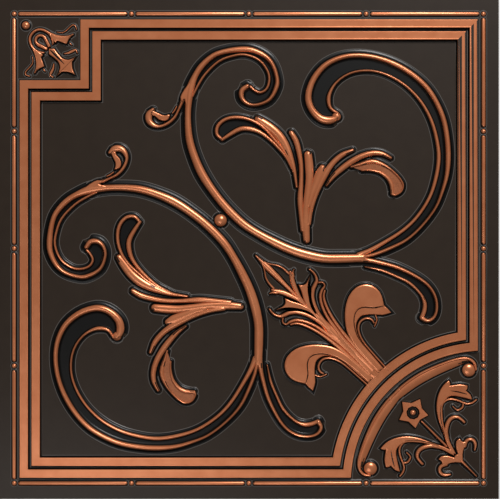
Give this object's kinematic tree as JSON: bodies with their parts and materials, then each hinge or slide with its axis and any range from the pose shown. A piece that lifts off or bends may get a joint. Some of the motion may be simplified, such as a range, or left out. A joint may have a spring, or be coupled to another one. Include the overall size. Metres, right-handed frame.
{
  "type": "embossed PVC ceiling tile",
  "caption": "Square faux-tin ceiling tile in thin formed PVC, antique copper finish, with scrollwork relief.",
  "frame": {"origin": "middle of the square sheet, at its back face", "axes": "+Z out of the patterned face, +X to the right and +Y up the pattern"},
  "size_m": [0.603, 0.603, 0.0068],
  "materials": {
    "copper_painted_pvc": "satin"
  },
  "bodies": {
    "root": {"ceiling_tile": "copper_painted_pvc"}
  },
  "joints": []
}
